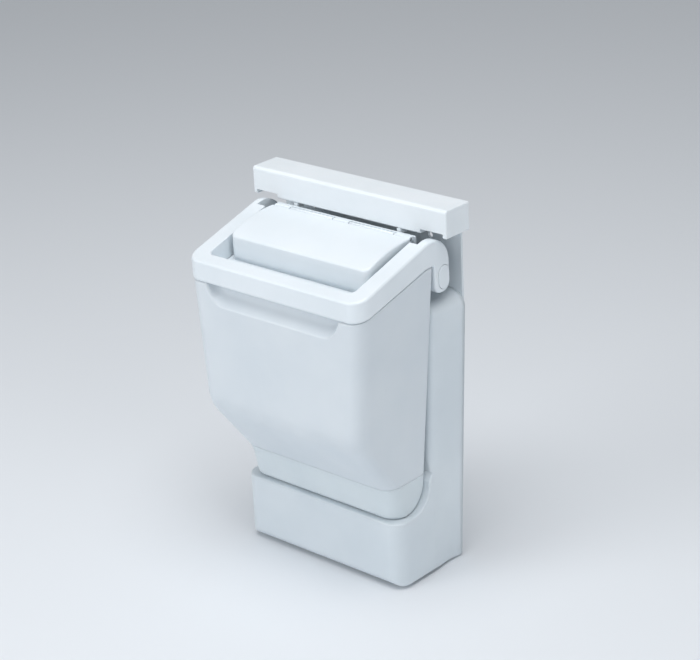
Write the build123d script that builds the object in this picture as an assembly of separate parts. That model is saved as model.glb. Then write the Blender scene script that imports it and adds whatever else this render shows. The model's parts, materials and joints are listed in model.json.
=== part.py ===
from build123d import *
import os

# Water tank with a swing handle and a filler flap, standing on a housing on a refrigerator door.
# Millimetres. X across the door, Y towards the door, Z up. The door plane is y = 0, so the tank
# reaches towards -Y. z = 0 is just above the lowest edge of the tank.

# Driving dimensions of the whole
TANK_REACH = 138.0        # from the door plane to the tank's front face
TANK_TOP_HALF = 103.0     # half the tank's width at its rear top edge
TANK_TOP_Z = 227.0        # height of that edge
TAPER = 0.065             # side walls draw in by this much per millimetre down
WALL = 2.5                # moulded wall
CORNER_R = 15.0           # upright front corners of tank and handle
REAR_CORNER_R = 4.0
SEAM_Z = 27.0             # joint between the tank body and its shoe
SEAM_GAP = 0.4
UPPER_BEND_Z = 85.0      # where the front turns in towards the foot
LOWER_BEND_Z = 24.0
LOWER_BEND_DEPTH = 45.8

# Line where the handle meets the tank: depth from the front face, height
PART_FRONT_Z = 203.2
PART_SLOPE = 0.265
PART_FLAT_DEPTH = 90.0    # behind this depth the line is level
REST_GAP = 0.4            # shadow gap under the handle

# Handle frame
HANDLE_WIDTH = 17.5       # across each arm
HANDLE_EDGE_R = 2.5
WINDOW_EDGE_R = 1.0       # inside the handle's opening
BAR_DEPTH = 13.0          # front to back of the front bar
BAR_TOP_Z = 223.3
ARM_SLOPE = 0.30          # rise of the arm's top edge
TAIL_DEPTH = 121.0        # rear face of the arm's tail
TAIL_BOTTOM_Z = 199.8
CREST_R = 24.0
TAIL_THICK = 8.0          # the arm is thinner behind this depth
TAIL_FROM = 88.0
TAIL_INNER = TANK_TOP_HALF - TAIL_THICK
CAP_SEAT = TANK_TOP_HALF - 2.0
PIVOT_DEPTH = 112.8
PIVOT_Z = 213.7
PIVOT_R = 4.0
RUNNING = 0.05            # radial clearance of a running fit

# Filler tray and flap
TRAY_HALF = 84.7
TRAY_FRONT = 14.4
TRAY_RISE = 2.0           # tray floor above the parting line
TRAY_THICK = 1.6
MOUTH_INSET = 2.6         # tank's mouth inside the tray's edge
RAIL_REAR = 102.4
RAIL_TOP_Z = 250.2
FLAP_HALF = 81.5
FLAP_FRONT = 37.0
FLAP_WALL = 2.2
HINGE_DEPTH = 97.2
HINGE_Z = 248.2
KNUCKLE_R = 2.4
HINGE_PIN_R = 1.25
FILLER_HALF = 55.0
FILLER_FRONT = 48.0
FILLER_REAR = 84.0
RIM_RISE = 12.0            # rim round the filler opening, above the tray's floor

# Valve between the tank's shoe and the housing
VALVE_Z = 16.0
NECK_R = 7.0
NOSE_R = 6.0
SOCKET_R = 7.4

# Housing on the door, with its cradle, and the rail over the tank
HOUSING_FRONT = 97.6
HOUSING_TOP_Z = 187.0
HOUSING_BASE_Z = -70.0
HOUSING_WALL = 3.0
CRADLE_FRONT = 46.5
CRADLE_HALF = 95.0
SEAT_EDGE_R = 1.5
PLATE_THICK = 2.5
RAIL_FRONT = 104.0
RAIL_UNDER_Z = 252.6
RAIL_HEIGHT = 26.0
RAIL_HALF = 114.0
SCREW_R = 2.0
HEAD_R = 4.0
HEAD_THICK = 1.5
HOUSING_SCREWS = [(x, z) for z in (165, 60, -45) for x in (-80, 80)]
RAIL_SCREWS = [(-70, 266), (70, 266)]
DOOR_HOLES = [(x, z) for z in (209, 239) for x in (-70, 70)]
DOOR_HOLE_R = 2.6

# Way out from the valve socket, through the door
CHAMBER_DEPTH = 110.5     # centre of the socket's chamber
OUTLET_Z = -44.0
NIPPLE_R = 4.4            # both ends of the inner hose
HOSE_WALL = 1.7
OUTLET_BORE_R = 3.0
SPOUT_R = 5.0
SPOUT_COLLAR_R = 6.0      # where the spout passes the back plate
SPOUT_LENGTH = 18.0       # beyond the door plane

os.makedirs("parts", exist_ok=True)


def y_at(depth):
    """Y of a point so far behind the tank's front face."""
    return depth - TANK_REACH


def save(name, *pieces):
    """One node: a single solid, or a group of separate ones."""
    solids = [s for piece in pieces for s in piece.solids()]
    shape = solids[0] if len(solids) == 1 else Compound(children=solids)
    export_step(shape, f"parts/{name}.step")


def side_prism(corners, radii, low_x, high_x):
    """Solid from a (depth, height) outline, between two places across the door."""
    outline = FilletPolyline(*[(y_at(d), z) for d, z in corners], radius=radii, close=True)
    face = Plane.YZ.offset(low_x) * make_face(outline)
    return extrude(face, amount=high_x - low_x)


def block(low, high):
    """Box between two corners given as (x, depth, z)."""
    size = [b - a for a, b in zip(low, high)]
    centre = [(a + b) / 2 for a, b in zip(low, high)]
    return Pos(centre[0], y_at(centre[1]), centre[2]) * Box(*size)


def rounded_block(half, front, rear, low_z, high_z, radius):
    """Upright block, symmetric across, with rounded upright corners."""
    plan = RectangleRounded(2 * half, rear - front, radius)
    return Pos(0, y_at((front + rear) / 2), low_z) * extrude(plan, amount=high_z - low_z)


def rod_y(radius, front, rear, x=0.0, z=VALVE_Z):
    """Round bar along Y between two depths."""
    centre = y_at((front + rear) / 2)
    return Pos(x, centre, z) * Rot(90, 0, 0) * Cylinder(radius, rear - front)


def rod_x(radius, low_x, high_x, depth, z):
    """Round bar along X."""
    return Pos((low_x + high_x) / 2, y_at(depth), z) * Rot(0, 90, 0) * Cylinder(radius, high_x - low_x)


def parting(lift, above):
    """Everything above, or below, the parting line raised by lift."""
    top = PART_FRONT_Z + PART_SLOPE * PART_FLAT_DEPTH + lift
    start = PART_FRONT_Z - PART_SLOPE * 40 + lift
    end_z = 400 if above else -200
    corners = [(-40, start), (PART_FLAT_DEPTH, top), (160, top), (160, end_z), (-40, end_z)]
    return side_prism(corners, [0, 25, 0, 0, 0], -130, 130)


def half_width(z):
    return TANK_TOP_HALF - TAPER * (TANK_TOP_Z - z)


def tank_form(inset):
    """Tank and shoe as one closed volume, drawn in by inset on every side but the top."""
    top = 245.0
    corners = [(0, top), (0, UPPER_BEND_Z), (LOWER_BEND_DEPTH, LOWER_BEND_Z), (50, -2), (54, -6), (91.4, -6),
               (98.9, top)]
    outline = FilletPolyline(*[(y_at(d), z) for d, z in corners],
                             radius=[0, 35, 26, 0, 0, 24, 0], close=True)
    face = make_face(outline)
    if inset:
        face = offset(face, amount=-inset, kind=Kind.INTERSECTION)
    side = extrude(Plane.YZ * face, amount=130, both=True)
    low, high = -20.0, 260.0
    taper = Polyline((-half_width(low) + inset, low), (half_width(low) - inset, low),
                     (half_width(high) - inset, high), (-half_width(high) + inset, high), close=True)
    front = extrude(Plane.XZ * make_face(taper), amount=200, both=True)
    form = side & front
    upright = [e for e in form.edges() if abs(e.center().X) > 60 and e.center().Y < y_at(54)
               and e.bounding_box().size.Z > 3]
    form = fillet(upright, CORNER_R - inset)
    rear = [e for e in form.edges() if abs(e.center().X) > 60 and e.center().Y > y_at(90)
            and e.bounding_box().size.Z > 100]
    return fillet(rear, max(REAR_CORNER_R - inset, 1.0))


def slab(low_z, high_z):
    return block((-130, -40, low_z), (130, 160, high_z))


def scoop(grow):
    """Finger hollow in the tank's front face, under the bar."""
    outline = FilletPolyline((-80 - grow, 215), (-72 - grow, 183 - grow), (72 + grow, 183 - grow),
                             (80 + grow, 215), radius=[0, 17, 17, 0], close=True)
    front = extrude(Plane.XZ.offset(TANK_REACH + 3) * make_face(outline), amount=-20, taper=14)
    return front & rod_x(20.4 + grow, -100, 100, -8, 203)


def collar(lift, outer_inset, inner_inset, low_lift):
    """Rectangular ring standing on the tank's deck."""
    ring = rounded_block(TRAY_HALF - outer_inset, TRAY_FRONT + outer_inset, 96.5 - outer_inset, 190, 245,
                         7 - outer_inset)
    ring -= rounded_block(TRAY_HALF - inner_inset, TRAY_FRONT + inner_inset, 96.5 - inner_inset, 180, 250,
                          7 - inner_inset)
    return ring & parting(lift, False) & parting(low_lift, True)


def pivot_ear(side):
    low, high = sorted((side * 78.0, side * (TAIL_INNER - 0.6)))
    ear = rod_x(8.0, low, high, PIVOT_DEPTH, PIVOT_Z)
    web = block((low, 96.2, PIVOT_Z - 8), (high, PIVOT_DEPTH, PIVOT_Z + 8))
    return ear + web


def tank_body():
    outer = tank_form(0) & parting(-REST_GAP, False) & slab(SEAM_Z + SEAM_GAP / 2, 300)
    room = tank_form(WALL) & parting(-REST_GAP - WALL, False) & slab(SEAM_Z + 3, 300)
    room -= scoop(WALL)
    body = outer - room - scoop(0)
    body -= rounded_block(TRAY_HALF - MOUTH_INSET, TRAY_FRONT + MOUTH_INSET, 96.5 - MOUTH_INSET, 190, 245, 4.4)
    body += rounded_block(64.4, 55.6, 82.4, 24, SEAM_Z + 2, 5)
    body -= rounded_block(62, 58, 80, 15, 35, 3)
    for side in (-1, 1):
        body += pivot_ear(side)
        low, high = sorted((side * 70.0, side * TAIL_INNER))
        body -= rod_x(PIVOT_R + RUNNING, low, high, PIVOT_DEPTH, PIVOT_Z)
    return body


def tank_shoe():
    shoe = (tank_form(0) - tank_form(WALL)) & slab(-20, SEAM_Z - SEAM_GAP / 2)
    shoe += rod_y(9.0, 85.6, 91.8)
    shoe -= rod_y(NECK_R + RUNNING, 80, 95)
    return shoe


def shoe_seal():
    """Cord of rubber along the inside of the seam."""
    ring = tank_form(WALL + 0.05) - tank_form(WALL + 2.0)
    return ring & slab(SEAM_Z - 1.7, SEAM_Z + 0.15)


def filler_tray():
    tray = rounded_block(TRAY_HALF, TRAY_FRONT, 99.0, 190, 250, 7)
    tray += block((-TRAY_HALF, 90, 190), (TRAY_HALF, RAIL_REAR, 250))
    tray = tray & parting(TRAY_RISE, False) & parting(TRAY_RISE - TRAY_THICK, True)
    tray += collar(TRAY_RISE - 1, 3.0, 4.6, -7)
    rail = block((-FLAP_HALF, 100.1, 228), (FLAP_HALF, RAIL_REAR, RAIL_TOP_Z))
    tray += rail
    for low, high in ((-80, -62), (-9, 9), (62, 80)):
        tray += rod_x(KNUCKLE_R, low, high, HINGE_DEPTH, HINGE_Z)
        tray += block((low, HINGE_DEPTH, HINGE_Z - 1.2), (high, 101, HINGE_Z + KNUCKLE_R - 0.4))
    tray -= rod_x(HINGE_PIN_R + RUNNING, -80.5, 80.5, HINGE_DEPTH, HINGE_Z)
    rim = rounded_block(FILLER_HALF + 2, FILLER_FRONT - 2, FILLER_REAR + 2, 215, 245, 8)
    tray += rim & parting(TRAY_RISE + RIM_RISE, False) & parting(TRAY_RISE - 1, True)
    tray -= rounded_block(FILLER_HALF, FILLER_FRONT, FILLER_REAR, 190, 250, 6)
    return tray


def tray_gasket():
    return collar(TRAY_RISE - TRAY_THICK - 0.05, 0.4, 2.4, 0.05 - REST_GAP)


def flap_outline(inset):
    base = 205.0
    front = FLAP_FRONT + inset
    rear = 94.4
    line = [Line((y_at(front), base), (y_at(front), 238.0 - inset)),
            ThreePointArc((y_at(front), 238.0 - inset), (y_at(66), 248.0 - inset),
                          (y_at(rear), 250.5 - inset)),
            Line((y_at(rear), 250.5 - inset), (y_at(rear), base)),
            Line((y_at(rear), base), (y_at(front), base))]
    return Plane.YZ * make_face(line)


def filler_flap():
    flap = extrude(flap_outline(0), amount=FLAP_HALF, both=True)
    upright = [e for e in flap.edges() if e.center().Y < y_at(40) and e.bounding_box().size.Z > 10]
    flap = fillet(upright, 6.0)
    rims = [e for e in flap.edges() if e.center().Z > 237 and e.center().Y < y_at(90)
            and e.bounding_box().size.Z < 15]
    flap = fillet(rims, 1.6)
    hollow = extrude(flap_outline(FLAP_WALL), amount=FLAP_HALF - FLAP_WALL, both=True)
    hollow += block((-FLAP_HALF + FLAP_WALL, 80, 200), (FLAP_HALF - FLAP_WALL, 96, 250.5 - FLAP_WALL))
    flap = flap - hollow
    for low, high in ((-61, -10), (10, 61)):
        flap += rod_x(KNUCKLE_R, low, high, HINGE_DEPTH, HINGE_Z)
        flap += block((low, 93, HINGE_Z - 0.6), (high, HINGE_DEPTH, HINGE_Z + KNUCKLE_R - 0.2))
        flap -= rod_x(HINGE_PIN_R + RUNNING, low - 1, high + 1, HINGE_DEPTH, HINGE_Z)
    return flap & parting(TRAY_RISE + 0.4, True)


def flap_gasket():
    """Soft ring under the flap that closes on the rim round the filler opening."""
    ring = rounded_block(FILLER_HALF + 5, FILLER_FRONT - 5, FILLER_REAR + 5, 200, 260, 9)
    ring -= rounded_block(FILLER_HALF + 0.5, FILLER_FRONT - 0.5, FILLER_REAR + 0.5, 190, 270, 6)
    under = extrude(flap_outline(FLAP_WALL + 0.05), amount=70, both=True)
    return ring & under & parting(TRAY_RISE + RIM_RISE + 0.1, True)


def handle_outline():
    part_z = PART_FRONT_Z + PART_SLOPE * PART_FLAT_DEPTH
    crest = BAR_TOP_Z + ARM_SLOPE * TAIL_DEPTH
    corners = [(0, PART_FRONT_Z), (0, BAR_TOP_Z), (TAIL_DEPTH, crest), (TAIL_DEPTH, TAIL_BOTTOM_Z),
               (101.6, TAIL_BOTTOM_Z), (99.6, part_z), (PART_FLAT_DEPTH, part_z)]
    return corners, [0, 0, CREST_R, 9.2, 8, 0.8, 25]


def is_outer(edge):
    """True on the front edge, the front corners and the two side edges of the handle's top."""
    at_side = abs(edge.center().X) > TANK_TOP_HALF - 0.1
    at_front = edge.center().Y < y_at(CORNER_R - 2)
    return (at_side or at_front) and edge.bounding_box().size.Z < 60


def handle_frame():
    corners, radii = handle_outline()
    frame = side_prism(corners, radii, -TANK_TOP_HALF, TANK_TOP_HALF)
    frame = frame & rounded_block(TANK_TOP_HALF, 0, 200, 150, 300, CORNER_R)
    outer_rim = [e for e in frame.edges() if e.center().Z > BAR_TOP_Z - 1 and is_outer(e)]
    frame = fillet(outer_rim, HANDLE_EDGE_R)
    inner = TANK_TOP_HALF - HANDLE_WIDTH
    frame -= rounded_block(inner, BAR_DEPTH, 200, 150, 300, 6)
    window_rim = [e for e in frame.edges() if abs(e.center().X) < inner + 0.1 and e.center().Z > BAR_TOP_Z + 2
                  and y_at(BAR_DEPTH - 0.1) < e.center().Y < y_at(80) and e.bounding_box().size.Z < 30
                  and e.bounding_box().size.X + e.bounding_box().size.Y > 1]
    frame = fillet(window_rim, WINDOW_EDGE_R)
    frame -= block((-TAIL_INNER, TAIL_FROM, 150), (TAIL_INNER, 200, 300))
    for side in (-1, 1):
        low, high = sorted((side * 90.0, side * (TANK_TOP_HALF + 1)))
        frame -= rod_x(PIVOT_R + RUNNING, low, high, PIVOT_DEPTH, PIVOT_Z)
        frame -= pin_cap(side, CAP_SEAT, TANK_TOP_HALF + 1, 0.4)
    return frame


def pin_cap(side, low_x, high_x, grow):
    """Obround cap that keys the pivot pin into the arm."""
    outline = SlotOverall(21.5 + 2 * grow, 14.0 + 2 * grow, rotation=90)
    sheet = Plane.YZ.offset(side * low_x) * Pos(PIVOT_DEPTH - TANK_REACH - 0.6, PIVOT_Z + 0.3) * outline
    return extrude(sheet, amount=side * (high_x - low_x))


def pivot_pin(side):
    cap = pin_cap(side, CAP_SEAT + 0.05, TANK_TOP_HALF + 0.6, 0)
    rim = [e for e in cap.edges() if abs(e.center().X) > TANK_TOP_HALF + 0.5]
    cap = fillet(rim, 0.5)
    low, high = sorted((side * 76.0, side * (CAP_SEAT + 0.1)))
    shaft = rod_x(PIVOT_R, low, high, PIVOT_DEPTH, PIVOT_Z)
    return cap + shaft


def housing_form(inset, front, rear):
    """Tapering box between two upright outlines, the rear one wider."""
    sheets = []
    for depth, top_half, base_half, top, base, r in (
            (front, 98.0, 90.0, HOUSING_TOP_Z, HOUSING_BASE_Z, 10.0),
            (rear, 107.5, 95.0, HOUSING_TOP_Z + 6.5, HOUSING_BASE_Z - 4, 14.0)):
        outline = FilletPolyline((-base_half + inset, base + inset), (base_half - inset, base + inset),
                                 (top_half - inset, top - inset), (-top_half + inset, top - inset),
                                 radius=r - inset, close=True)
        sheets.append(Plane.XZ.offset(TANK_REACH - depth) * make_face(outline))
    return loft(sheets, ruled=True)


def housing_shell():
    rear = TANK_REACH - PLATE_THICK
    outer = housing_form(0, HOUSING_FRONT, rear)
    rim = [e for e in outer.edges() if abs(e.center().Y - y_at(HOUSING_FRONT)) < 0.01]
    outer = fillet(rim, 7.0)
    room = housing_form(HOUSING_WALL, HOUSING_FRONT + HOUSING_WALL, rear + 1)
    shell = outer - room
    shell -= rod_y(11.2, HOUSING_FRONT - 5, HOUSING_FRONT + 10)
    for x, z in HOUSING_SCREWS:
        post = rod_y(5.0, HOUSING_FRONT + 1, rear - 0.05, x, z)
        shell += post
        shell -= rod_y(SCREW_R + 0.02, rear - 16, rear + 1, x, z)
    return shell


def cradle_base():
    """Foot under the tank, hollowed to the round of the tank's shoe."""
    rear = HOUSING_FRONT - 0.1
    corners = [(CRADLE_FRONT, HOUSING_BASE_Z), (CRADLE_FRONT, -6.8), (92.4, -6.8), (92.4, 20),
               (rear, 27), (rear, HOUSING_BASE_Z)]
    base = side_prism(corners, [8, 2, 24, 3, 0, 0], -CRADLE_HALF, CRADLE_HALF)
    base = base & rounded_block(CRADLE_HALF, CRADLE_FRONT, 200, -200, 100, CORNER_R)
    inner = [(CRADLE_FRONT + 3, HOUSING_BASE_Z + 3), (CRADLE_FRONT + 3, -10), (78, -10), (rear + 1, -2),
             (rear + 1, HOUSING_BASE_Z + 3)]
    room = side_prism(inner, [6, 1, 6, 0, 0], -CRADLE_HALF, CRADLE_HALF)
    base -= room & rounded_block(CRADLE_HALF - 3, CRADLE_FRONT + 3, 200, -200, 100, CORNER_R - 3)
    base -= rod_y(12.5, 80, 100)
    side_rim = [e for e in base.edges() if abs(e.center().X) > CRADLE_HALF - 0.1 and e.center().Z > -9
                and e.center().Y < y_at(97)]
    return fillet(side_rim, SEAT_EDGE_R)


def cradle_pads():
    return [block((x - 12, 58, -6.75), (x + 12, 67, -6.2)) for x in (-50, 50)]


def rear_bumpers():
    """Soft pads between the tank's back and the housing."""
    pads = []
    for x, z in ((-62, 172), (62, 172), (-56, 60), (56, 60)):
        pad = block((x - 9, 90, z - 6), (x + 9, HOUSING_FRONT - 0.15, z + 6)) - tank_form(0)
        pads.append(pad)
    return pads


def back_plate():
    low, high = HOUSING_BASE_Z, RAIL_UNDER_Z + RAIL_HEIGHT - 2
    outline = FilletPolyline((-92, low), (92, low), (104, 190), (104, high), (-104, high), (-104, 190),
                             radius=[8, 8, 0, 8, 8, 0], close=True)
    plate = extrude(Plane.XZ * make_face(outline), amount=PLATE_THICK)
    for x, z in HOUSING_SCREWS + RAIL_SCREWS:
        plate -= rod_y(SCREW_R + 0.3, TANK_REACH - 5, TANK_REACH + 1, x, z)
        plate -= rod_y(HEAD_R + 0.2, TANK_REACH - HEAD_THICK - 0.1, TANK_REACH + 1, x, z)
    for x, z in DOOR_HOLES:
        plate -= rod_y(DOOR_HOLE_R, TANK_REACH - 5, TANK_REACH + 1, x, z)
    return plate - rod_y(6.2, TANK_REACH - 5, TANK_REACH + 1, 0, OUTLET_Z)


def screws(places, length):
    """Flat-headed screws driven in from the door side, heads just below the plate's back."""
    head_front = TANK_REACH - HEAD_THICK - 0.05
    group = []
    for x, z in places:
        head = rod_y(HEAD_R, head_front, TANK_REACH - 0.05, x, z)
        head -= Pos(x, 0, z) * Box(1.0, 1.6, 5.0)
        group.append(head + rod_y(SCREW_R, TANK_REACH - length, head_front, x, z))
    return group


def top_rail():
    """Rail over the tank's back edge, notched where the handle's arms swing up."""
    top = RAIL_UNDER_Z + RAIL_HEIGHT
    rear = TANK_REACH - PLATE_THICK - 0.05
    corners = [(RAIL_FRONT, RAIL_UNDER_Z), (RAIL_FRONT, top), (rear, top), (rear, RAIL_UNDER_Z)]
    rail = side_prism(corners, [1.5, 3, 0, 0], -RAIL_HALF, RAIL_HALF)
    ends = [e for e in rail.edges() if abs(e.center().X) > RAIL_HALF - 0.1
            and e.center().Y < y_at(RAIL_FRONT + 2)]
    rail = fillet(ends, 1.4)
    inner = [(RAIL_FRONT + 3, RAIL_UNDER_Z + 7.5), (RAIL_FRONT + 3, top - 3), (rear + 1, top - 3),
             (rear + 1, RAIL_UNDER_Z + 7.5)]
    rail -= side_prism(inner, [2, 2, 0, 0], -RAIL_HALF + 3, RAIL_HALF - 3)
    for side in (-1, 1):
        low, high = sorted((side * 84.5, side * 110.0))
        rail -= block((low, RAIL_FRONT - 2, 240), (high, TANK_REACH, RAIL_UNDER_Z + 4.2))
    for x, z in RAIL_SCREWS:
        rail += rod_y(5.0, RAIL_FRONT + 2, rear, x, z)
        rail -= rod_y(SCREW_R + 0.02, rear - 16, rear + 1, x, z)
    return rail


def rail_pads():
    return [block((x - 2, RAIL_FRONT - 0.7, RAIL_UNDER_Z - 4.5), (x + 2, 112, RAIL_UNDER_Z - 0.05))
            for x in (-61, 61)]


def valve_body():
    body = rod_y(6.4, 76, 83.5) + rod_y(8.2, 83.5, 85.55) + rod_y(NECK_R, 85.5, 95) + rod_y(NOSE_R, 95, 104)
    body -= rod_y(4.4, 77.5, 97)
    body -= rod_y(2.4, 96, 105)
    body -= rod_y(NOSE_R + 1, 99.5, 101.9) - rod_y(5.0, 99, 102)
    body -= rod_y(1.45, 75, 78)
    for x, z in ((2.9, 0), (-2.9, 0), (0, 2.9), (0, -2.9)):
        body -= rod_y(0.9, 75, 78, x, VALVE_Z + z)
    return body


def valve_nut():
    sheet = Plane.XZ.offset(TANK_REACH - 92.6) * Pos(0, VALVE_Z) * RegularPolygon(9.4, 6)
    return extrude(sheet, amount=-2.3) - rod_y(NECK_R + RUNNING, 90, 96)


def valve_seal():
    return Pos(0, y_at(100.7), VALVE_Z) * Rot(90, 0, 0) * Torus(6.15, 1.1)


def valve_poppet():
    return rod_y(3.9, 89.6, 91.6) + rod_y(1.7, 91.5, 99.5) + rod_y(1.3, 79.5, 89.7)


def poppet_seal():
    return rod_y(3.7, 91.65, 92.9) - rod_y(1.75, 91, 93.5)


def valve_spring():
    coil = Helix(pitch=1.9, height=9.5, radius=2.8)
    wire = sweep(Plane(origin=coil @ 0, z_dir=coil % 0) * Circle(0.35), path=coil)
    return Pos(0, y_at(89.1), VALVE_Z) * Rot(90, 0, 0) * wire


def strainer():
    """Slotted cup over the valve's mouth inside the shoe."""
    cup = rod_y(7.5, 66, 83.4) - rod_y(6.5, 67, 84)
    for step in range(6):
        depth = 68.5 + 2.2 * step
        cup -= block((-9, depth, VALVE_Z - 4), (9, depth + 1.1, VALVE_Z + 4))
    return cup


def valve_socket():
    socket = rod_y(11.0, 97.7, 116) + block((-24, 101.7, VALVE_Z - 9), (24, 103.7, VALVE_Z + 9))
    nipple = Pos(0, y_at(CHAMBER_DEPTH), -1) * Cylinder(NIPPLE_R, 22)
    socket += nipple
    socket -= rod_y(SOCKET_R, 97, 108)
    socket -= rod_y(4.0, 107, 113)
    socket -= Pos(0, y_at(CHAMBER_DEPTH), 0) * Cylinder(2.4, 30)
    mouth = [e for e in socket.edges() if abs(e.center().Y - y_at(97.7)) < 0.01
             and e.bounding_box().size.X < 16]
    socket = chamfer(mouth, 0.8)
    for x in (-19, 19):
        socket -= rod_y(1.7, 100, 105, x)
    return socket


def socket_gasket():
    ring = rod_y(14.0, 100.65, 101.65) - rod_y(11.3, 100, 102)
    return ring & block((-20, 99, VALVE_Z - 9), (20, 103, VALVE_Z + 14))


def socket_probe():
    base = rod_y(3.95, 111.5, 112.95)
    for x, z in ((2.4, 0), (-2.4, 0), (0, 2.4), (0, -2.4)):
        base -= rod_y(0.7, 111, 113.5, x, VALVE_Z + z)
    return base + rod_y(1.3, 99.9, 111.6)


def socket_screws():
    group = []
    for x in (-19, 19):
        group.append(rod_y(1.4, 101.0, 103.8, x) + rod_y(2.8, 103.75, 105.4, x))
    return group


def outlet_hose():
    path = FilletPolyline((0, y_at(CHAMBER_DEPTH), -4), (0, y_at(CHAMBER_DEPTH), OUTLET_Z),
                          (0, y_at(131.8), OUTLET_Z), radius=12)
    tube = Circle(NIPPLE_R + RUNNING + HOSE_WALL) - Circle(NIPPLE_R + RUNNING)
    return sweep(Plane(origin=path @ 0, z_dir=path % 0) * tube, path=path)


def outlet_spout():
    spout = rod_y(NIPPLE_R, 125, 134, 0, OUTLET_Z)
    spout += rod_y(8.5, 133.2, 135.4, 0, OUTLET_Z)
    spout += rod_y(SPOUT_COLLAR_R, 135, TANK_REACH, 0, OUTLET_Z)
    spout += rod_y(SPOUT_R, TANK_REACH, TANK_REACH + SPOUT_LENGTH, 0, OUTLET_Z)
    return spout - rod_y(OUTLET_BORE_R, 124, TANK_REACH + SPOUT_LENGTH + 1, 0, OUTLET_Z)


save("tank_body", tank_body())
save("tank_shoe", tank_shoe())
save("shoe_seal", shoe_seal())
save("filler_tray", filler_tray())
save("tray_gasket", tray_gasket())
save("filler_flap", filler_flap())
save("flap_gasket", flap_gasket())
save("flap_hinge_pin", rod_x(HINGE_PIN_R, -80.2, 80.2, HINGE_DEPTH, HINGE_Z))
save("handle_frame", handle_frame())
save("pivot_pin_left", pivot_pin(-1))
save("pivot_pin_right", pivot_pin(1))
save("housing_shell", housing_shell())
save("cradle_base", cradle_base())
save("cradle_pads", *cradle_pads())
save("rear_bumpers", *rear_bumpers())
save("back_plate", back_plate())
save("housing_screws", *screws(HOUSING_SCREWS, 16))
save("top_rail", top_rail())
save("rail_screws", *screws(RAIL_SCREWS, 16))
save("rail_pads", *rail_pads())
save("valve_body", valve_body())
save("valve_nut", valve_nut())
save("valve_seal", valve_seal())
save("valve_poppet", valve_poppet())
save("poppet_seal", poppet_seal())
save("valve_spring", valve_spring())
save("strainer", strainer())
save("valve_socket", valve_socket())
save("socket_gasket", socket_gasket())
save("socket_probe", socket_probe())
save("socket_screws", *socket_screws())
save("outlet_hose", outlet_hose())
save("outlet_spout", outlet_spout())
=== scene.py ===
import json
import math

import bpy
import numpy as np
from mathutils import Matrix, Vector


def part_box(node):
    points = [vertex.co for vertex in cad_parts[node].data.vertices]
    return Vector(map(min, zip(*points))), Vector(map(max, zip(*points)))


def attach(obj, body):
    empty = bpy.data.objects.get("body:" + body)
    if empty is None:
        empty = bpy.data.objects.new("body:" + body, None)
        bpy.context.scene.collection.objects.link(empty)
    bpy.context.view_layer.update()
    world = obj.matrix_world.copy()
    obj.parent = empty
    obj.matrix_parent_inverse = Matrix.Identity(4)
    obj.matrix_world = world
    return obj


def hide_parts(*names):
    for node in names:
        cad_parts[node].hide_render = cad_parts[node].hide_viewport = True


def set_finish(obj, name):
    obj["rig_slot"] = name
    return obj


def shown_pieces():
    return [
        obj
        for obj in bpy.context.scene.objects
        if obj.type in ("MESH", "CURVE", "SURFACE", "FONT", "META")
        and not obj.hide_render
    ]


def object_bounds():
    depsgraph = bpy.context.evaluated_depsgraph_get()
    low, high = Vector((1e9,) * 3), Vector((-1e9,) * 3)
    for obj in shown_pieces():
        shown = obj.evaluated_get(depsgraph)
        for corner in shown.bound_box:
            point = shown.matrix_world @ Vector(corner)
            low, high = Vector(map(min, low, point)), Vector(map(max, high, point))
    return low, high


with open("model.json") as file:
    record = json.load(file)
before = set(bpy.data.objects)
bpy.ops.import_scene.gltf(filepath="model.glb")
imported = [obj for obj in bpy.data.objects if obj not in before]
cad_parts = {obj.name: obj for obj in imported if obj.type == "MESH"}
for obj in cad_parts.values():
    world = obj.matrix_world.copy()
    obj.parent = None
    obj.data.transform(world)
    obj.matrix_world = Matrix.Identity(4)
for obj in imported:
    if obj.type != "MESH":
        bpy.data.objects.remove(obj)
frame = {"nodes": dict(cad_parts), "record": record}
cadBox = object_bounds()
print("frame loaded:", len(frame["nodes"]), "nodes")

mm = 0.001
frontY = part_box("tank_body")[0].y       # the tank's front plane; depths are measured back from it


# mesh helpers; their sizes are in millimetres: x across, depth behind the tank's front, z up

def depthOf(y):
    return (y - frontY) / mm


def axisOf(joint):
    # depth and height of a hinge's axis
    joints = frame["record"]["behaviour"]["joints"]
    y, z = next(j["pos_m"][1:] for j in joints if j["name"] == joint)
    return depthOf(y), z / mm


def addPiece(name, x, depth, z, faces, body, slot, replaced=()):
    # faces is an array of quads, with -1 in the last place for a triangle
    points = np.column_stack([x * mm, frontY + depth * mm, z * mm])
    corners = [tuple(f[:3]) if f[3] < 0 else tuple(f) for f in faces.tolist()]
    mesh = bpy.data.meshes.new(name)
    mesh.from_pydata(points.tolist(), [], corners)
    mesh.validate()
    mesh.shade_smooth()
    piece = bpy.data.objects.new(name, mesh)
    bpy.context.scene.collection.objects.link(piece)
    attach(piece, body)
    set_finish(piece, slot)
    if replaced:
        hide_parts(*replaced)
    return piece


def gridFaces(rows, columns, closeRows=False):
    # quads between neighbouring rings of a grid; each ring is closed, and closeRows joins the
    # last ring to the first
    ring = np.arange(rows if closeRows else rows - 1)
    r, c = np.meshgrid(ring, np.arange(columns), indexing="ij")
    r2, c2 = (r + 1) % rows, (c + 1) % columns
    quads = [r * columns + c, r * columns + c2, r2 * columns + c2, r2 * columns + c]
    return np.stack(quads, -1).reshape(-1, 4)


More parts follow.
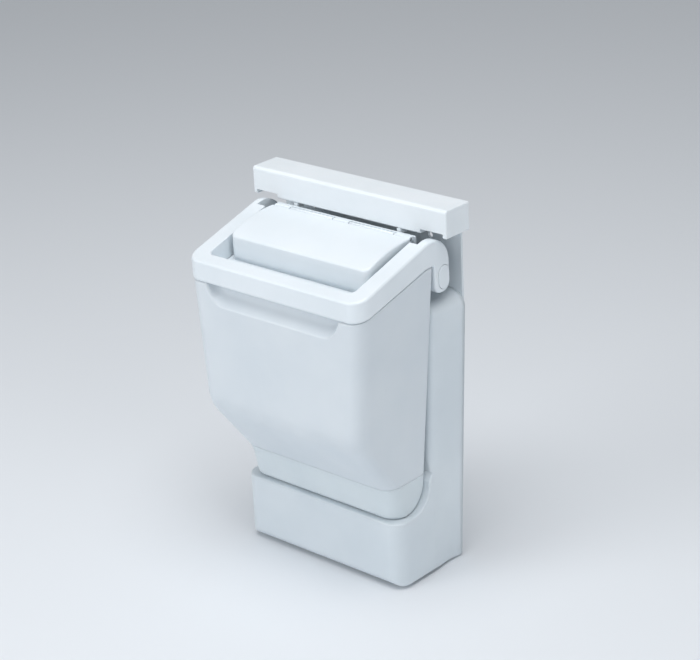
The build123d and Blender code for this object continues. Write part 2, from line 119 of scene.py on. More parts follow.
def capped(x, depth, z):
    # the rings of a grid with a centre point at each end and a fan of triangles to it, so that
    # the skin is closed
    rows, columns = x.shape
    lowCentre = rows * columns
    ring = np.arange(columns)
    lastRing = (rows - 1) * columns + ring
    none = np.full(columns, -1)
    low = np.stack([np.roll(ring, -1), ring, np.full(columns, lowCentre), none], -1)
    high = np.stack([lastRing, np.roll(lastRing, -1), np.full(columns, lowCentre + 1), none], -1)
    flat = [np.append(a.ravel(), [a[0].mean(), a[-1].mean()]) for a in (x, depth, z)]
    return (*flat, np.vstack([gridFaces(rows, columns), low, high]))


def roundedPath(points, radii, step=0.6):
    # a line whose corners are arcs: each arc touches both legs, so it starts
    # radius * tan(turn / 2) before the corner
    points = np.array(points, float)
    path = [points[:1]]
    for a, b, c, radius in zip(points[:-2], points[1:-1], points[2:], radii):
        back, on = (a - b) / np.linalg.norm(a - b), (c - b) / np.linalg.norm(c - b)
        turn = math.pi - math.acos(np.clip(back @ on, -1, 1))
        start = b + back * radius * math.tan(turn / 2)
        middle = (back + on) / np.linalg.norm(back + on)
        centre = b + middle * radius / math.cos(turn / 2)
        angle = np.linspace(0, turn, int(radius * turn / step) + 2)[:, None]
        path.append(centre + np.cos(angle) * (start - centre) - np.sin(angle) * back * radius)
    path.append(points[-1:])
    return np.vstack(path)


def ringAt(half, front, rear, frontR, rearR, counts):
    # closed ring in plan with rounded corners, counter-clockwise from above, starting at the
    # front left. Each size is a number or one value for each ring; counts is the number of
    # points along the front, a corner, a side and the rear
    sizes = [np.array(v, float).reshape(-1, 1) for v in (half, front, rear, frontR, rearR)]
    half, front, rear, frontR, rearR = np.broadcast_arrays(*sizes)
    nFront, nCorner, nSide, nRear = counts
    a = np.linspace(0, math.pi / 2, nCorner)[None, :]
    f = (np.arange(nFront) / nFront)[None, :]
    s = (np.arange(1, nSide) / nSide)[None, :]
    b = (np.arange(1, nRear) / nRear)[None, :]
    long = rear - rearR - front - frontR
    x = [-half + frontR + f * 2 * (half - frontR),
         half - frontR + frontR * np.sin(a),
         half + 0 * s,
         half - rearR + rearR * np.cos(a),
         half - rearR - b * 2 * (half - rearR),
         -half + rearR - rearR * np.sin(a),
         -half + 0 * s,
         -half + frontR - frontR * np.cos(a[:, :-1])]
    d = [front + 0 * f,
         front + frontR - frontR * np.cos(a),
         front + frontR + s * long,
         rear - rearR + rearR * np.sin(a),
         rear + 0 * b,
         rear - rearR + rearR * np.cos(a),
         rear - rearR - s * long,
         front + frontR - frontR * np.sin(a[:, :-1])]
    return np.hstack(x), np.hstack(d)


def smooth(t):
    # a rise from 0 to 1 that starts and ends level
    t = np.clip(t, 0, 1)
    return t * t * (3 - 2 * t)


parting = {"frontZ": 203.2, "slope": 0.265, "levelFrom": 90.0, "softness": 3.3}


def partingZ(depth):
    # where the handle meets the tank: a straight rise that levels off, its corner softened by a
    # parabola
    low = parting["levelFrom"] - parting["softness"]
    d = np.minimum(depth, parting["levelFrom"] + parting["softness"])
    over = np.clip(d - low, 0, None)
    return parting["frontZ"] + parting["slope"] * (d - over * over / (4 * parting["softness"]))


# tank body: outer wall with the finger scoop, deck, mouth and inner wall as one skin of rings

tank = {
    "topHalf": 103.0, "topZ": 227.0, "taper": 0.065,      # half width, and its loss per height
    "rearDepth": 91.4, "rearLean": 0.0299,                # at the base, and its gain per height
    "baseZ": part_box("tank_shoe")[0].z / mm,
    "frontCorner": 15.0, "rearCorner": 3.5, "wall": 2.5, "gap": 0.4,
    "seamZ": 27.08, "floor": 3.0,                         # the inside starts floor above the seam
    "nearTopZ": 215.0,                                    # level that places the top's points
    "tiltFrom": 60.0, "tiltOver": 20.0,                   # depths where rings start to follow the rear
    "counts": (200, 18, 26, 70),
    "rows": ((0, 0.52, 44), (0.52, 0.86, 10), (0.86, 1, 36)),   # closest over bends and scoop
}
mouth = {"half": 82.6, "front": 16.5, "rear": 94.4, "r": 4.9, "ease": 0.5}   # opening in the deck
foot = {"half": 62.0, "front": 58.0, "rear": 80.0, "r": 3.0}                 # opening to the shoe
sideLine = roundedPath([(0, 245), (0, 85), (45.8, 24), (50, -2)], [38, 30])   # front, from the side
scoop = {"halfTop": 80.0, "halfBase": 71.5, "baseZ": 183.0, "topZ": 206.0, "corner": 17.0,
         "bowlR": 20.4, "bowlDepth": -8.0, "bowlZ": 203.0, "endLength": 11.0, "lip": 0.8,
         "within": 40.0}                                  # no point deeper than this is pushed in


def frontDepth(z):
    return np.interp(-np.asarray(z, float), -sideLine[:, 1], sideLine[:, 0])


def halfWidth(z):
    return tank["topHalf"] - tank["taper"] * (tank["topZ"] - np.asarray(z, float))


def rearDepth(z):
    return tank["rearDepth"] + tank["rearLean"] * (np.asarray(z, float) - tank["baseZ"])


def scoopDepth(x, z):
    # how far the front is pushed in: a cylinder lying across, faded out along a quarter round
    # inside a rounded trapezoid
    lean = (scoop["halfTop"] - scoop["halfBase"]) / (scoop["topZ"] - scoop["baseZ"])
    inX = scoop["halfBase"] + lean * (z - scoop["baseZ"]) - np.abs(x)
    inZ = z - scoop["baseZ"]
    r = scoop["corner"]
    cornerX, cornerZ = np.clip(r - inX, 0, None), np.clip(r - inZ, 0, None)
    inCorner = (cornerX > 0) & (cornerZ > 0)
    inside = np.where(inCorner, r - np.hypot(cornerX, cornerZ), np.minimum(inX, inZ))
    bowl = np.sqrt(np.clip(scoop["bowlR"] ** 2 - (scoop["bowlZ"] - z) ** 2, 0, None))
    reach = np.clip(bowl + scoop["bowlDepth"], 0, None)
    softened = np.hypot(reach, scoop["lip"]) - scoop["lip"]
    fade = 1 - np.clip(inside / scoop["endLength"], 0, 1)
    return softened * np.sqrt(np.clip(1 - fade * fade, 0, 1)) * (inside > 0)


def wallRings(inset, lowZ, drop, shares):
    # rings of the wall, set in by inset, from lowZ up to the parting line less drop; the rings
    # tilt to meet that line
    corner, rearCorner = tank["frontCorner"] - inset, tank["rearCorner"] - inset
    nearTop = tank["nearTopZ"]
    topDepth = ringAt(halfWidth(nearTop) - inset, inset, rearDepth(nearTop) - inset, corner,
                      rearCorner, tank["counts"])[1]
    z = lowZ + (partingZ(topDepth) - drop - lowZ) * shares[:, None]
    level = z[:, 0]
    x, d = ringAt(halfWidth(level) - inset, frontDepth(level) + inset, rearDepth(level) - inset,
                  corner, rearCorner, tank["counts"])
    x *= (halfWidth(z) - inset) / (halfWidth(level)[:, None] - inset)
    tilt = smooth((d - tank["tiltFrom"]) / tank["tiltOver"])
    d += (rearDepth(z) - rearDepth(level)[:, None]) * tilt
    return x, d + np.where(d < scoop["within"], scoopDepth(x, z), 0), z


def makeTank():
    *lower, upper = tank["rows"]
    shares = np.concatenate([np.linspace(*band)[:-1] for band in lower] + [np.linspace(*upper)])
    gap, wall, seamZ, insideZ = tank["gap"], tank["wall"], tank["seamZ"], tank["seamZ"] + tank["floor"]
    outer = wallRings(0, seamZ, gap, shares)
    inner = wallRings(wall, insideZ, gap + wall, shares)

    def mouthRing(pull, lift):
        x, d = ringAt(mouth["half"] - pull, mouth["front"] + pull, mouth["rear"] - pull,
                      mouth["r"] - pull, mouth["r"] - pull, tank["counts"])
        return x, d, partingZ(d) + lift

    def footRing(z):
        x, d = ringAt(foot["half"], foot["front"], foot["rear"], foot["r"], foot["r"], tank["counts"])
        return x, d, np.full_like(x, z)

    # from the foot's opening out to the wall, up it, over the deck, down the mouth and inside
    # back to the foot
    ease = mouth["ease"]
    rings = [footRing(seamZ), outer, mouthRing(0, -gap), mouthRing(ease, -gap - ease),
             mouthRing(ease, -gap - wall), tuple(a[::-1] for a in inner), footRing(insideZ)]
    x, d, z = (np.vstack([r[k] for r in rings]) for k in range(3))
    faces = gridFaces(*x.shape, closeRows=True)
    addPiece("tankShell", x.ravel(), d.ravel(), z.ravel(), faces, "tank", "tank_plastic",
             ["tank_body"])


makeTank()
print("tank shell made")


# shoe: the tank's foot below the seam, one skin of rings that turns under into a flat base

shoe = {"topZ": 26.92, "wall": 2.5, "toeRound": 5.0, "toeDepth": 4.0, "heelRound": 24.0,
        "rings": 40, "counts": (60, 14, 16, 60)}


def makeShoe():
    # each ring is level; its front comes from the side line, eased back at the toe, and its rear
    # from a quarter round at the heel
    def rings(inset):
        z = np.linspace(shoe["topZ"], tank["baseZ"] + inset, shoe["rings"])
        heel = shoe["heelRound"] - inset
        below = np.clip(tank["baseZ"] + shoe["heelRound"] - z, 0, heel)
        rear = rearDepth(z) - inset - (heel - np.sqrt(heel ** 2 - below ** 2))
        toe = np.clip((tank["baseZ"] + shoe["toeRound"] - z) / shoe["toeRound"], 0, 1)
        front = frontDepth(z) + inset + shoe["toeDepth"] * (1 - np.sqrt(1 - toe ** 2))
        x, d = ringAt(halfWidth(z) - inset, front, rear, tank["frontCorner"] - inset,
                      tank["rearCorner"] - inset, shoe["counts"])
        return x, d, np.broadcast_to(z[:, None], x.shape)

    # the outside runs up from the base, the rim crosses the wall, and the inside runs down to its
    # floor
    outer, inner = rings(0), rings(shoe["wall"])
    x, d, z = (np.vstack([outer[k][::-1], inner[k]]) for k in range(3))
    addPiece("shoeShell", *capped(x, d, z), "tank", "shoe_plastic", ["tank_shoe"])


makeShoe()
print("shoe made")


# pivot ears: two rounded lugs that stand out from the tank's back and carry the handle's pins

ear = {"lowX": 78.0, "highX": 94.4, "r": 8.0, "bore": 4.05, "root": 96.2, "rootHalf": 7.9,
       "edge": 0.5, "arcPoints": 40, "rootPoints": 24, "edgePoints": 5}
pivotDepth, pivotZ = axisOf("handle_swing")


def makeEars():
    # a stadium outline in depth and height carried across x, its rims turned in by a small
    # quarter round, round the bore
    angle = np.linspace(-math.pi / 2, math.pi / 2, ear["arcPoints"])
    rootZ = np.linspace(ear["rootHalf"], -ear["rootHalf"], ear["rootPoints"])
    outD = np.concatenate([pivotDepth + ear["r"] * np.cos(angle), np.full(len(rootZ), ear["root"])])
    outZ = pivotZ + np.concatenate([ear["r"] * np.sin(angle), rootZ])
    turn = np.arctan2(outZ - pivotZ, outD - pivotDepth)
    boreD, boreZ = pivotDepth + ear["bore"] * np.cos(turn), pivotZ + ear["bore"] * np.sin(turn)
    quarter = np.linspace(0, math.pi / 2, ear["edgePoints"])
    bend, lowX, highX = ear["edge"], ear["lowX"], ear["highX"]
    rimX = np.concatenate([lowX + bend * (1 - np.cos(quarter)),
                           highX - bend * (1 - np.cos(quarter[::-1]))])
    rimIn = bend * (1 - np.sin(np.concatenate([quarter, quarter[::-1]])))
    share = 1 - rimIn[:, None] / ear["r"]
    d = np.vstack([pivotDepth + (outD - pivotDepth) * share, boreD, boreD])
    z = np.vstack([pivotZ + (outZ - pivotZ) * share, boreZ, boreZ])
    x = np.concatenate([rimX, [highX, lowX]])[:, None] + 0 * d
    faces = gridFaces(*x.shape, closeRows=True)
    for name, sign in (("earLeft", -1), ("earRight", 1)):
        order = faces if sign > 0 else faces[:, ::-1]
        addPiece(name, sign * x.ravel(), d.ravel(), z.ravel(), order, "tank", "tank_plastic")


makeEars()
print("pivot ears made")


# flap: a shell with a domed top, every outer edge rolled over

flap = {
    "half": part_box("filler_flap")[1].x / mm, "front": depthOf(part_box("filler_flap")[0].y), "rear": 94.4,
    "frontTopZ": 238.0, "midDepth": 66.0, "midZ": 248.0, "rearTopZ": 250.5,   # three points of the dome
    "corner": 6.0, "rearCorner": 1.2, "leastCorner": 0.3, "edge": 1.8, "insideEdge": 0.7, "rise": 2.4,
    "wall": 2.2, "rearWall": 1.32,
    "counts": (90, 12, 60, 90), "wallRows": 4, "edgeRows": 9, "topRows": 22, "topCrowding": 1.4,
}


def flapTop(depth):
    # circle through the front, middle and rear heights of the cover's top
    d1, z1 = flap["front"], flap["frontTopZ"]
    d2, z2 = flap["midDepth"], flap["midZ"]
    d3, z3 = flap["rear"], flap["rearTopZ"]
    rows = np.array([[2 * (d2 - d1), 2 * (z2 - z1)], [2 * (d3 - d1), 2 * (z3 - z1)]])
    right = np.array([d2 ** 2 - d1 ** 2 + z2 ** 2 - z1 ** 2, d3 ** 2 - d1 ** 2 + z3 ** 2 - z1 ** 2])
    centreD, centreZ = np.linalg.solve(rows, right)
    radius = math.hypot(d1 - centreD, z1 - centreZ)
    return centreZ + np.sqrt(radius ** 2 - (np.asarray(depth, float) - centreD) ** 2)


def flapSkin(wall, rearWall, edge):
    # rings in plan: up the wall, round the top edge in a quarter round, then shrinking in to the
    # middle of the top; wall and rearWall are taken off the outside's sizes
    half, front, rear = flap["half"] - wall, flap["front"] + wall, flap["rear"] - rearWall
    corner, rearCorner = flap["corner"] - wall, flap["rearCorner"]
    rings = []
    for up in np.arange(flap["wallRows"]) / flap["wallRows"]:
        x, d = ringAt(half, front, rear, corner, rearCorner, flap["counts"])
        base, rim = partingZ(d) + flap["rise"], flapTop(d) - wall - edge
        rings.append((x, d, base + (rim - base) * up))
    for a in np.linspace(0, math.pi / 2, flap["edgeRows"]):
        pull = edge * (1 - math.cos(a))
        x, d = ringAt(half - pull, front + pull, rear - pull, corner - pull / 2,
                      max(rearCorner - pull, flap["leastCorner"]), flap["counts"])
        rings.append((x, d, flapTop(d) - wall - edge * (1 - math.sin(a))))
    middle = (front + rear) / 2
    rimX, rimD = rings[-1][:2]
    for share in 1 - np.linspace(0, 1, flap["topRows"])[1:-1] ** flap["topCrowding"]:
        d = middle + (rimD - middle) * share
        rings.append((rimX * share, d, flapTop(d) - wall))
    return rings


def makeFlap():
    # the inside runs from the middle of its top down to the foot, and the outside back up; the
    # centre points at both ends lie on the dome
    rings = flapSkin(flap["wall"], flap["rearWall"], flap["insideEdge"])[::-1]
    rings += flapSkin(0, 0, flap["edge"])
    x, d, z, faces = capped(*(np.vstack([r[k] for r in rings]) for k in range(3)))
    z[-2:] = flapTop(d[-2:]) - [flap["wall"], 0]
    return addPiece("flapShell", x, d, z, faces, "flap", "lid_plastic")


knuckle = {"r": 2.4, "bore": 1.3, "edge": 0.25, "points": 40, "spans": ((-61, -10), (10, 61))}
hingeDepth, hingeZ = axisOf("flap_hinge")


def makeKnuckles():
    # short tubes round the hinge line, each a ring profile turned about it, with eased rims
    r, b, e = knuckle["r"], knuckle["bore"], knuckle["edge"]
    angle = np.linspace(0, 2 * math.pi, knuckle["points"], endpoint=False)[None, :]
    x, d, z, faces, start = [], [], [], [], 0
    for low, high in knuckle["spans"]:
        profile = np.array([(low + e, r), (high - e, r), (high, r - e), (high, b + e),
                            (high - e, b), (low + e, b), (low, b + e), (low, r - e)])
        tube = profile[:, :1] + 0 * angle
        x.append(tube.ravel())
        d.append((hingeDepth + profile[:, 1:] * np.cos(angle)).ravel())
        z.append((hingeZ + profile[:, 1:] * np.sin(angle)).ravel())
        faces.append(gridFaces(*tube.shape, closeRows=True) + start)
        start += tube.size
    x, d, z = (np.concatenate(a) for a in (x, d, z))
    addPiece("flapKnuckles", x, d, z, np.vstack(faces), "flap", "lid_plastic")


flapShell = makeFlap()
makeKnuckles()
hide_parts("filler_flap")
print("flap made")


# housing: a vacuum-formed hood with soft corners, its front rim rolled over, one skin with its
# inside

housing = {
    "front": 97.6, "rear": depthOf(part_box("housing_shell")[1].y),
    "topZ": 187.0, "topRearZ": 193.5, "baseZ": -70.0, "baseRearZ": -74.0,
    "topHalf": 98.0, "topRearHalf": 107.5, "baseHalf": 90.0, "baseRearHalf": 95.0,
    "corner": 10.0, "rearCorner": 14.0, "footCorner": 3.5, "rim": 7.0, "wall": 3.0,
    "hole": 11.2, "holeZ": 16.0,                         # the valve's hole in the front
    "insideFrom": 0.12, "liningShare": 0.10, "liningPull": 2.5,   # how the inside meets the front
    "arc": 16, "legs": (60, 90, 60, 110),                # points in a corner, and along each side
    "faceRings": 8, "rimRings": 10, "sideRings": 8, "insideRings": 7,
}
flow = {"half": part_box("cradle_base")[1].x / mm, "fromZ": 46.0, "over": 34.0, "fromX": 55.0,
        "overX": 25.0}


def between(nearKey, farKey, share):
    # a housing size at share of the way from front to rear
    return housing[nearKey] + (housing[farKey] - housing[nearKey]) * share


def hoodRing(share, inset, pull):
    # upright rounded outline at share of the way from front to rear, drawn in by inset and, but
    # for its foot, by pull; it starts at the lower left
    topHalf = between("topHalf", "topRearHalf", share) - inset - pull
    baseHalf = between("baseHalf", "baseRearHalf", share) - inset - pull
    top = between("topZ", "topRearZ", share) - inset - pull
    base = between("baseZ", "baseRearZ", share) + inset
    high = between("corner", "rearCorner", share) - inset - pull / 2
    low = housing["footCorner"]
    lean = (topHalf - baseHalf) / (top - base)
    a = np.linspace(0, math.pi / 2, housing["arc"])
    arcs = []
    for sign, z, start, r in ((-1, base + low, 1.0, low), (1, base + low, 1.5, low),
                              (1, top - high, 0.0, high), (-1, top - high, 0.5, high)):
        x = sign * (baseHalf + lean * (z - base) - r)
        angle = start * math.pi + a
        arcs.append(np.column_stack([x + r * np.cos(angle), z + r * np.sin(angle)]))
    out = []
    for arc, following, count in zip(arcs, arcs[1:] + arcs[:1], housing["legs"]):
        step = (np.arange(1, count) / count)[:, None]
        out += [arc, arc[-1] + (following[0] - arc[-1]) * step]
    return np.vstack(out)


def flowToCradle(points, depth):
    # low on each side the hood swells out to the cradle's own width, fading away upwards and
    # towards the rear, so the two run into one
    x, z = points[:, 0], points[:, 1]
    low = smooth((flow["fromZ"] - z) / flow["over"])
    beside = smooth((np.abs(x) - flow["fromX"]) / flow["overX"])
    ahead = smooth((housing["rear"] - depth) / (housing["rear"] - housing["front"]))
    swell = np.clip(flow["half"] - np.abs(x), 0, None) * low * beside * ahead
    return np.column_stack([x + np.sign(x) * swell, z])


def makeHousing():
    # front face from the valve's hole out, over the rolled rim, back to the door, in through the
    # wall and forward inside
    front, wall, rim, holeZ = (housing[k] for k in ("front", "wall", "rim", "holeZ"))
    long = housing["rear"] - front
    rings = []

    def add(points, depth):
        rings.append((points[:, 0], np.full(len(points), depth), points[:, 1]))

    face = flowToCradle(hoodRing(0, 0, rim), front)
    turn = np.arctan2(face[:, 1] - holeZ, face[:, 0])
    hole = np.column_stack([housing["hole"] * np.cos(turn), holeZ + housing["hole"] * np.sin(turn)])
    for share in np.linspace(0, 1, housing["faceRings"])[:-1]:
        add(hole + (face - hole) * share, front)
    for turned in np.linspace(0, math.pi / 2, housing["rimRings"]):
        depth = front + rim * (1 - math.cos(turned))
        outline = hoodRing((depth - front) / long, 0, rim * (1 - math.sin(turned)))
        add(flowToCradle(outline, depth), depth)
    for share in np.linspace(rim / long, 1, housing["sideRings"])[1:]:
        add(flowToCradle(hoodRing(share, 0, 0), front + long * share), front + long * share)
    for share in np.linspace(1, housing["insideFrom"], housing["insideRings"]):
        add(hoodRing(share, wall, 0), front + long * share)
    add(hoodRing(housing["liningShare"], wall, housing["liningPull"]), front + wall)
    add(hole, front + wall)
    x, d, z = (np.vstack([r[k] for r in rings]) for k in range(3))
    faces = gridFaces(*x.shape, closeRows=True)[:, ::-1]
    addPiece("housingHood", x.ravel(), d.ravel(), z.ravel(), faces, "door_mount",
             "housing_plastic", ["housing_shell"])


makeHousing()
print("housing made")


# materials

def hexColor(code):
    # sRGB hex to linear RGBA
    channels = np.array([int(code[k:k + 2], 16) / 255 for k in (1, 3, 5)])
    linear = np.where(channels <= 0.04045, channels / 12.92, ((channels + 0.055) / 1.055) ** 2.4)
    return (*linear.tolist(), 1.0)


def addNode(tree, kind, settings=None, inputs=None):
    # a shader node with its settings and its inputs; an input is a value or another node's
    # output socket
    node = tree.nodes.new(kind)
    for key, value in (settings or {}).items():
        setattr(node, key, value)
    for key, value in (inputs or {}).items():
        if isinstance(value, bpy.types.NodeSocket):
            tree.links.new(value, node.inputs[key])
        else:
            node.inputs[key].default_value = value
    return node


def startMaterial(name):
    material = bpy.data.materials.new(name)
    material.use_nodes = True
    tree = material.node_tree
    tree.nodes.clear()
    coords = addNode(tree, "ShaderNodeTexCoord").outputs["Object"]
    return material, tree, coords


def finishMaterial(tree, inputs):
    surface = addNode(tree, "ShaderNodeBsdfPrincipled", inputs=inputs)
    addNode(tree, "ShaderNodeOutputMaterial", inputs={"Surface": surface.outputs["BSDF"]})


def noise(tree, coords, sizeMm, detail, roughness=0.5):
    # noise whose features are about sizeMm across
    return addNode(tree, "ShaderNodeTexNoise", inputs={
        "Vector": coords, "Scale": 1000.0 / sizeMm, "Detail": detail,
        "Roughness": roughness}).outputs["Fac"]


def spreadOver(tree, value, low, high, toLow=0.0, toHigh=1.0):
    # the value's range from low to high, stretched to run from toLow to toHigh
    return addNode(tree, "ShaderNodeMapRange", inputs={
        "Value": value, "From Min": low, "From Max": high, "To Min": toLow,
        "To Max": toHigh}).outputs["Result"]


def mixColors(tree, factor, look):
    # sockets 6 and 7 are the Mix node's colours, and output 2 its result
    return addNode(tree, "ShaderNodeMix", {"data_type": "RGBA"}, {
        "Factor": factor, 6: hexColor(look["shade"]), 7: hexColor(look["base"])}).outputs[2]


def makePlastic(name, look):
    # moulded plastic: a faint cloud of tone from uneven filling, a fine spark-eroded grain in the
    # gloss and the surface, and long shallow waves where the skin shrank on cooling, which bend
    # the reflections a little
    material, tree, coords = startMaterial(name)
    cloud = noise(tree, coords, look["cloudMm"], detail=3.0)
    color = mixColors(tree, spreadOver(tree, cloud, low=0.3, high=0.7), look)
    grain = noise(tree, coords, look["grainMm"], detail=4.0, roughness=0.6)
    rough = spreadOver(tree, grain, low=0.25, high=0.75, toLow=look["rough"] - look["roughSpread"],
                       toHigh=look["rough"] + look["roughSpread"])
    wave = noise(tree, coords, look["waveMm"], detail=1.0)
    waveBump = addNode(tree, "ShaderNodeBump", inputs={
        "Height": wave, "Strength": 1.0, "Distance": look["waveDepthMm"] * mm})
    bump = addNode(tree, "ShaderNodeBump", inputs={
        "Height": grain, "Strength": 1.0, "Distance": look["grainDepthMm"] * mm,
        "Normal": waveBump.outputs["Normal"]})
    finishMaterial(tree, {
        "Base Color": color, "Roughness": rough, "Normal": bump.outputs["Normal"],
        "IOR": look["ior"], "Subsurface Weight": look["glow"],
        "Subsurface Radius": (1.0, 0.9, 0.85), "Subsurface Scale": look["glowMm"] * mm})
    return material


def makeSteel(name, look):
    # steel wire and screws: streaks drawn out along one axis in tone and gloss, so that a
    # highlight breaks into lines
    material, tree, coords = startMaterial(name)
    stretch = addNode(tree, "ShaderNodeMapping", inputs={"Vector": coords, "Scale": look["stretch"]})
    streak = noise(tree, stretch.outputs["Vector"], look["streakMm"], detail=3.0)
    color = mixColors(tree, streak, look)
    rough = spreadOver(tree, streak, low=0.3, high=0.7, toLow=look["rough"] - look["smoother"],
                       toHigh=look["rough"] + look["rougher"])
    bump = addNode(tree, "ShaderNodeBump", inputs={
        "Height": streak, "Strength": 0.6, "Distance": look["streakDepthMm"] * mm})
    finishMaterial(tree, {"Base Color": color, "Roughness": rough, "Metallic": 1.0,
                          "Normal": bump.outputs["Normal"]})
    return material


# one entry for each material slot, and one for a node whose finish differs from its slot's; that node, the
# top rail, also gets a lighter base as painted light from above
plastics = {
    "tank_plastic": ("tankInjectionMouldedPolystyrene", {
        "base": "#D9E0E5", "shade": "#D3DBE1", "cloudMm": 60, "grainMm": 0.5,
        "grainDepthMm": 0.008, "rough": 0.46, "roughSpread": 0.05, "waveMm": 26,
        "waveDepthMm": 0.10, "ior": 1.5, "glow": 0.10, "glowMm": 1.6}),
    "shoe_plastic": ("shoeTintedPolypropyleneMoulded", {
        "base": "#D8E1E5", "shade": "#D2DCE1", "cloudMm": 40, "grainMm": 0.6,
        "grainDepthMm": 0.009, "rough": 0.44, "roughSpread": 0.05, "waveMm": 22,
        "waveDepthMm": 0.08, "ior": 1.49, "glow": 0.14, "glowMm": 2.2}),
    "lid_plastic": ("coverGlossMouldedAbs", {
        "base": "#E5ECF1", "shade": "#E0E8ED", "cloudMm": 55, "grainMm": 0.4,
        "grainDepthMm": 0.004, "rough": 0.34, "roughSpread": 0.04, "waveMm": 30,
        "waveDepthMm": 0.09, "ior": 1.53, "glow": 0.08, "glowMm": 1.2}),
    "handle_plastic": ("handleGlossMouldedAbs", {
        "base": "#E5ECF1", "shade": "#DFE7EC", "cloudMm": 50, "grainMm": 0.4,
        "grainDepthMm": 0.004, "rough": 0.32, "roughSpread": 0.04, "waveMm": 34,
        "waveDepthMm": 0.08, "ior": 1.53, "glow": 0.08, "glowMm": 1.2}),
    "housing_plastic": ("housingVacuumFormedPolystyrene", {
        "base": "#D9E1E6", "shade": "#D1DAE0", "cloudMm": 70, "grainMm": 0.9,
        "grainDepthMm": 0.010, "rough": 0.40, "roughSpread": 0.06, "waveMm": 16,
        "waveDepthMm": 0.10, "ior": 1.5, "glow": 0.08, "glowMm": 1.5}),
    # the top rail's base is partly its own pale gloss plastic and partly painted light: it is made lighter
    # to stand in for the light falling on it from above
    "top_rail": ("railGlossMouldedAbsPaintedLight", {
        "base": "#E9EFF3", "shade": "#E3EAEE", "cloudMm": 45, "grainMm": 0.4,
        "grainDepthMm": 0.004, "rough": 0.36, "roughSpread": 0.04, "waveMm": 18,
        "waveDepthMm": 0.08, "ior": 1.53, "glow": 0.08, "glowMm": 1.2}),
    "plate_plastic": ("plateExtrudedPolystyreneSheet", {
        "base": "#D9E1E6", "shade": "#D2DBE1", "cloudMm": 90, "grainMm": 1.2,
        "grainDepthMm": 0.012, "rough": 0.42, "roughSpread": 0.05, "waveMm": 45,
        "waveDepthMm": 0.12, "ior": 1.5, "glow": 0.06, "glowMm": 1.5}),
    "rail_plastic": ("ribMouldedPolystyrene", {
        "base": "#DFE6EA", "shade": "#D8E0E5", "cloudMm": 20, "grainMm": 0.5,
        "grainDepthMm": 0.008, "rough": 0.45, "roughSpread": 0.05, "waveMm": 9,
        "waveDepthMm": 0.05, "ior": 1.5, "glow": 0.08, "glowMm": 1.2}),
    "valve_plastic": ("valveTurnedAcetal", {
        "base": "#E6E6E0", "shade": "#DEDED7", "cloudMm": 12, "grainMm": 0.3,
        "grainDepthMm": 0.006, "rough": 0.38, "roughSpread": 0.05, "waveMm": 5,
        "waveDepthMm": 0.03, "ior": 1.48, "glow": 0.15, "glowMm": 1.8}),
    "strainer_plastic": ("strainerMouldedNylon", {
        "base": "#8FA2B0", "shade": "#8497A6", "cloudMm": 9, "grainMm": 0.3,
        "grainDepthMm": 0.008, "rough": 0.48, "roughSpread": 0.06, "waveMm": 5,
        "waveDepthMm": 0.03, "ior": 1.53, "glow": 0.10, "glowMm": 1.0}),
    "grey_rubber": ("sealMouldedNitrileRubber", {
        "base": "#5A5F64", "shade": "#50565B", "cloudMm": 14, "grainMm": 0.4,
        "grainDepthMm": 0.02, "rough": 0.68, "roughSpread": 0.08, "waveMm": 6,
        "waveDepthMm": 0.05, "ior": 1.52, "glow": 0.0, "glowMm": 0.5}),
    "silicone": ("hoseExtrudedSilicone", {
        "base": "#D6DCDE", "shade": "#CCD4D7", "cloudMm": 10, "grainMm": 0.6,
        "grainDepthMm": 0.006, "rough": 0.42, "roughSpread": 0.06, "waveMm": 8,
        "waveDepthMm": 0.05, "ior": 1.41, "glow": 0.35, "glowMm": 3.0}),
}
steels = {
    "pin_steel": ("pinDrawnStainlessSteel", {
        "base": "#C9CBCD", "shade": "#A9ADB0", "rough": 0.28, "smoother": 0.07, "rougher": 0.09,
        "streakMm": 0.5, "streakDepthMm": 0.01, "stretch": (0.04, 1, 1)}),
    "screw_steel": ("screwZincPlatedSteel", {
        "base": "#C6CACE", "shade": "#A2A9B0", "rough": 0.36, "smoother": 0.07, "rougher": 0.09,
        "streakMm": 0.6, "streakDepthMm": 0.01, "stretch": (1, 0.3, 1)}),
    "spring_steel": ("springHardDrawnSteel", {
        "base": "#B9BBBD", "shade": "#8E9194", "rough": 0.30, "smoother": 0.07, "rougher": 0.09,
        "streakMm": 0.3, "streakDepthMm": 0.01, "stretch": (1, 1, 1)}),
}
materials = {slot: makePlastic(*entry) for slot, entry in plastics.items()}
materials.update({slot: makeSteel(*entry) for slot, entry in steels.items()})

slotOf = {part["node"]: part["material_slot"] for part in frame["record"]["subparts"]}
for name, node in frame["nodes"].items():
    node.data.materials.clear()
    node.data.materials.append(materials.get(name) or materials[slotOf[name]])
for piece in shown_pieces():
    if "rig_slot" in piece:
        piece.data.materials.append(materials[piece["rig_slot"]])
print("materials made:", len(materials))


# floor, light and camera; their sizes are in metres

floorLook = {"size": 14.0, "color": "#E6EAEE", "cloudMm": 400, "smoothest": 0.78, "roughest": 0.84}


def makeFloor():
    # a square plane under the object, painted, with a faint cloud in its gloss
    side, lowest = floorLook["size"] / 2, cadBox[0].z
    mesh = bpy.data.meshes.new("floor")
    mesh.from_pydata([(-side, -side, lowest), (side, -side, lowest), (side, side, lowest),
                      (-side, side, lowest)], [], [(0, 1, 2, 3)])
    material, tree, coords = startMaterial("floorPaintedPale")
    cloud = noise(tree, coords, floorLook["cloudMm"], detail=2.0)
    rough = spreadOver(tree, cloud, low=0.0, high=1.0, toLow=floorLook["smoothest"],
                       toHigh=floorLook["roughest"])
    finishMaterial(tree, {"Base Color": hexColor(floorLook["color"]), "Roughness": rough})
    mesh.materials.append(material)
    plane = bpy.data.objects.new("floor", mesh)
    bpy.context.scene.collection.objects.link(plane)
    return plane


floor = makeFloor()

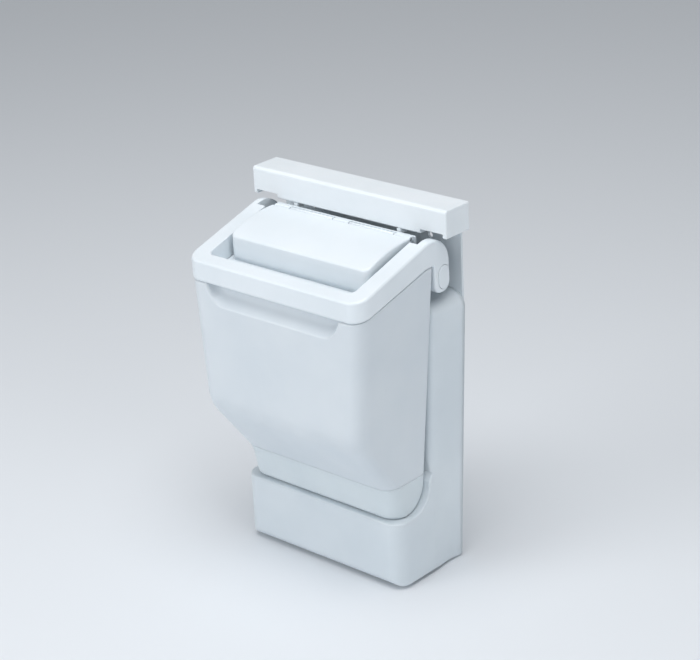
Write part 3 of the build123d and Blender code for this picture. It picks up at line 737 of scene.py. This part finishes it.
lights = [
    {"name": "overhead", "place": (0.25, -0.45, 1.9), "size": 1.5, "watts": 21.5, "color": "#FCFCFD"},
    {"name": "frontFill", "place": (-0.9, -2.0, 0.9), "size": 1.4, "watts": 16.5, "color": "#FAFAFB"},
    {"name": "sideFill", "place": (2.0, -0.6, 0.7), "size": 1.2, "watts": 7.0, "color": "#FAFBFC"},
]
lightTarget = (0.0, frontY + 0.07, 0.12)
world = {"color": "#F0F3F7", "strength": 0.42}


def aimed(place, target, roll=0.0):
    # matrix at place whose -Z axis looks at target, turned by roll about it
    forward = np.array(target, float) - np.array(place, float)
    forward /= np.linalg.norm(forward)
    right = np.cross(forward, [0, 0, 1])
    right /= np.linalg.norm(right)
    up = np.cross(right, forward)
    matrix = np.eye(4)
    matrix[:3, 0] = right * math.cos(roll) + up * math.sin(roll)
    matrix[:3, 1] = up * math.cos(roll) - right * math.sin(roll)
    matrix[:3, 2] = -forward
    matrix[:3, 3] = place
    return Matrix(matrix.tolist())


for look in lights:
    data = bpy.data.lights.new(look["name"], "AREA")
    data.shape, data.size, data.energy = "DISK", look["size"], look["watts"]
    data.color = hexColor(look["color"])[:3]
    lamp = bpy.data.objects.new(look["name"], data)
    bpy.context.scene.collection.objects.link(lamp)
    lamp.matrix_world = aimed(look["place"], lightTarget)

sky = bpy.data.worlds.new("studio")
bpy.context.scene.world = sky
sky.use_nodes = True
background = sky.node_tree.nodes["Background"]
background.inputs["Color"].default_value = hexColor(world["color"])
background.inputs["Strength"].default_value = world["strength"]

# aim is measured from the tank's front plane; azimuth, elevation and roll are in degrees
camera = {"aim": (0.0134, 0.0860, 0.1514), "azimuth": 42.44, "elevation": 22.59, "roll": -2.97,
          "distance": 1.853, "lens": 106.06}
azimuth, elevation, roll = (math.radians(camera[k]) for k in ("azimuth", "elevation", "roll"))
aim = np.array(camera["aim"]) + [0, frontY, 0]
away = np.array([math.sin(azimuth) * math.cos(elevation), -math.cos(azimuth) * math.cos(elevation),
                 math.sin(elevation)])
viewCamera = bpy.data.objects.new("viewCamera", bpy.data.cameras.new("viewCamera"))
viewCamera.data.lens = camera["lens"]
bpy.context.scene.collection.objects.link(viewCamera)
viewCamera.matrix_world = aimed(aim + away * camera["distance"], aim, roll)
bpy.context.scene.camera = viewCamera
bpy.context.scene.view_settings.view_transform = "Standard"
print("stage made")
